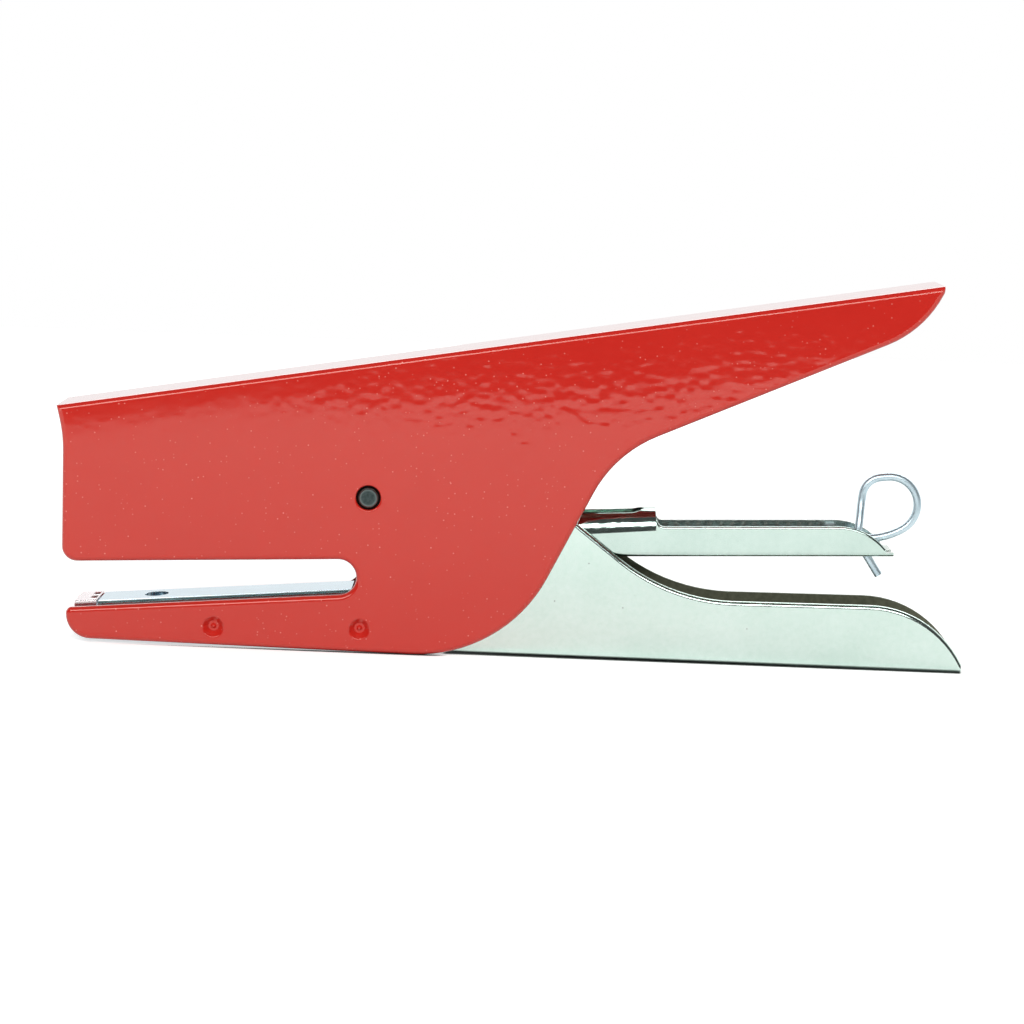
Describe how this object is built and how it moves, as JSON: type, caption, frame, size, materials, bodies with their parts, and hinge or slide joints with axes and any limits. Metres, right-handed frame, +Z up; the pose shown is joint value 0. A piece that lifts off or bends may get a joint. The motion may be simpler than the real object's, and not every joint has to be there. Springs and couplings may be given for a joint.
{
  "type": "plier stapler",
  "caption": "Narrow squeeze-grip hand stapler: red folded sheet body with slotted paper mouth, plated lower lever, tilting magazine and pull-out wire ring rod.",
  "frame": {"origin": "middle of the length and of the width, on the table", "axes": "+X from the jaw to the handles, +Y across, +Z up from the table"},
  "size_m": [0.16, 0.0138, 0.0682],
  "materials": {
    "red_enamel": "glossy baked enamel",
    "nickel_plate": "bright nickel plate",
    "hardened_steel": "ground and hardened",
    "turned_steel": "turned, bright",
    "zinc_plate": "bluish zinc plate",
    "spring_steel": "drawn, oiled"
  },
  "bodies": {
    "body": {"body_shell": "red_enamel", "anvil_channel": "nickel_plate", "clinch_plate": "hardened_steel", "pivot_pin": "turned_steel", "return_spring": "spring_steel"},
    "lever": {"lever_channel": "nickel_plate", "drive_bar": "turned_steel", "arm_spacer": "turned_steel"},
    "magazine": {"magazine_channel": "nickel_plate", "front_plate": "nickel_plate", "leaf_spring": "spring_steel", "leaf_rivet": "turned_steel"},
    "driver": {"driver_blade": "hardened_steel", "driver_holder": "hardened_steel", "driver_rivet_left": "turned_steel", "driver_rivet_right": "turned_steel"},
    "rod": {"pusher_rod": "zinc_plate", "rod_collar": "zinc_plate", "pusher_spring": "spring_steel"},
    "pusher": {"staple_pusher": "zinc_plate"}
  },
  "joints": [
    {"name": "lever_squeeze", "type": "hinge", "parent": "body", "child": "lever", "pos_m": [-0.02535, 0, 0.0277], "axis": [0, -1, 0], "range_deg": [0, 15], "stiffness_Nm_per_rad": 1, "springref_deg": -22.92, "deforming": ["return_spring", "leaf_spring"]},
    {"name": "magazine_tilt", "type": "hinge", "parent": "body", "child": "magazine", "pos_m": [-0.02535, 0, 0.0277], "axis": [0, -1, 0], "range_deg": [0, 8]},
    {"name": "driver_stroke", "type": "slide", "parent": "magazine", "child": "driver", "axis": [0.0372, 0, -0.9993], "range_m": [0, 0.00572]},
    {"name": "rod_pull", "type": "slide", "parent": "magazine", "child": "rod", "axis": [0.9993, 0, 0.0372], "range_m": [0, 0.08]},
    {"name": "pusher_feed", "type": "slide", "parent": "rod", "child": "pusher", "axis": [0.9993, 0, 0.0372], "range_m": [0, 0.06], "stiffness_N_per_m": 20, "springref_m": -0.05, "deforming": ["pusher_spring"]}
  ],
  "couplings": [
    {"joint": "magazine_tilt", "follows": "lever_squeeze", "ratio": 0.53333},
    {"joint": "driver_stroke", "follows": "lever_squeeze", "m_per_rad": 0.021836}
  ]
}
